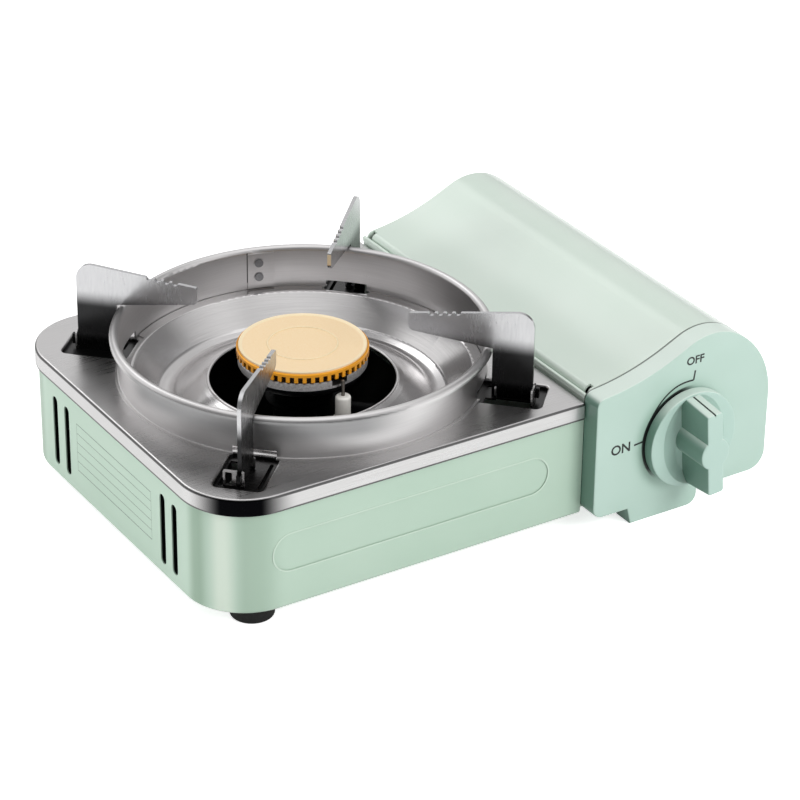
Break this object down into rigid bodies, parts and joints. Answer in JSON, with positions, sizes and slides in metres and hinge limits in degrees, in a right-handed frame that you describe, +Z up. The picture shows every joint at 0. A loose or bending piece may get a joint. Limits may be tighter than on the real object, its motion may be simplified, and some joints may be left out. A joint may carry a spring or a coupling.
{
  "type": "butane cassette stove",
  "caption": "Portable gas stove with a windshield ring round its burner, lift-off pot supports, a cartridge bay under a hinged cover, and a front knob.",
  "frame": {"origin": "centre of the overall box, on the ground", "axes": "+X from the burner to the cartridge bay, -Y to the front with the knob, +Z up"},
  "size_m": [0.3152, 0.248, 0.1165],
  "materials": {
    "case_paint": "satin mint enamel over pressed steel",
    "cover_paint": "satin mint enamel over pressed steel",
    "panel_plastic": "moulded, fine matt surface",
    "knob_plastic": "moulded, fine matt surface",
    "pan_stainless": "brushed, with a bright rolled edge",
    "shield_stainless": "bright rolled strip",
    "tray_stainless": "bright deep-drawn",
    "support_stainless": "blanked plate, satin",
    "cap_brass": "turned, pale top and deeper rim",
    "burner_aluminium": "die-cast, lightly turned",
    "plated_steel": "zinc plated",
    "bright_steel": "nickel plated",
    "copper_pipe": "drawn copper",
    "jet_brass": "turned",
    "zinc_casting": "die-cast, satin",
    "seal_rubber": "moulded",
    "feet_rubber": "moulded, matt",
    "white_ceramic": "glazed ceramic",
    "electrode_steel": "heat-darkened wire",
    "igniter_plastic": "moulded",
    "plunger_plastic": "moulded"
  },
  "bodies": {
    "root": {"burner_base": "burner_aluminium", "burner_bracket": "plated_steel", "burner_cap": "cap_brass", "burner_ring": "burner_aluminium", "cartridge_cradle": "plated_steel", "cartridge_seat": "zinc_casting", "case_screws": "bright_steel", "control_panel": "panel_plastic", "drip_tray": "tray_stainless", "electrode_bracket": "plated_steel", "electrode_insulator": "white_ceramic", "electrode_wire": "electrode_steel", "gas_nozzle": "jet_brass", "gas_pipe": "copper_pipe", "hinge_brackets": "plated_steel", "hinge_pins": "bright_steel", "lower_case": "case_paint", "mixing_tube": "plated_steel", "panel_screws": "bright_steel", "partition": "case_paint", "piezo_igniter": "igniter_plastic", "regulator_body": "zinc_casting", "regulator_bracket": "plated_steel", "regulator_cap": "jet_brass", "regulator_screws": "bright_steel", "rubber_feet": "feet_rubber", "seat_magnets": "bright_steel", "top_pan": "pan_stainless", "valve_seal": "seal_rubber", "windshield_ring": "shield_stainless", "windshield_rivets": "shield_stainless"},
    "knob": {"knob": "knob_plastic", "knob_spindle": "bright_steel", "igniter_cam": "igniter_plastic"},
    "cover": {"cartridge_cover": "cover_paint"},
    "igniter_plunger": {"piezo_plunger": "plunger_plastic"},
    "support_front_left": {"pot_support_front_left": "support_stainless"},
    "support_back_left": {"pot_support_back_left": "support_stainless"},
    "support_front_right": {"pot_support_front_right": "support_stainless"},
    "support_back_right": {"pot_support_back_right": "support_stainless"}
  },
  "joints": [
    {"name": "knob_turn", "type": "hinge", "parent": "root", "child": "knob", "pos_m": [0.10615, -0.1001, 0.04255], "axis": [0, -1, 0], "range_deg": [0, 90]},
    {"name": "cover_hinge", "type": "hinge", "parent": "root", "child": "cover", "pos_m": [0.05745, 0.0125, 0.073], "axis": [0, -1, 0], "range_deg": [0, 85]},
    {"name": "plunger_slide", "type": "slide", "parent": "root", "child": "igniter_plunger", "axis": [-1, 0, 0], "range_m": [0, 0.005]},
    {"name": "support_lift_front_left", "type": "slide", "parent": "root", "child": "support_front_left", "axis": [0, 0, 1], "range_m": [0, 0.03]},
    {"name": "support_lift_back_left", "type": "slide", "parent": "root", "child": "support_back_left", "axis": [0, 0, 1], "range_m": [0, 0.03]},
    {"name": "support_lift_front_right", "type": "slide", "parent": "root", "child": "support_front_right", "axis": [0, 0, 1], "range_m": [0, 0.03]},
    {"name": "support_lift_back_right", "type": "slide", "parent": "root", "child": "support_back_right", "axis": [0, 0, 1], "range_m": [0, 0.03]}
  ],
  "couplings": [
    {"joint": "plunger_slide", "follows": "knob_turn", "m_per_rad": 0.003183}
  ]
}
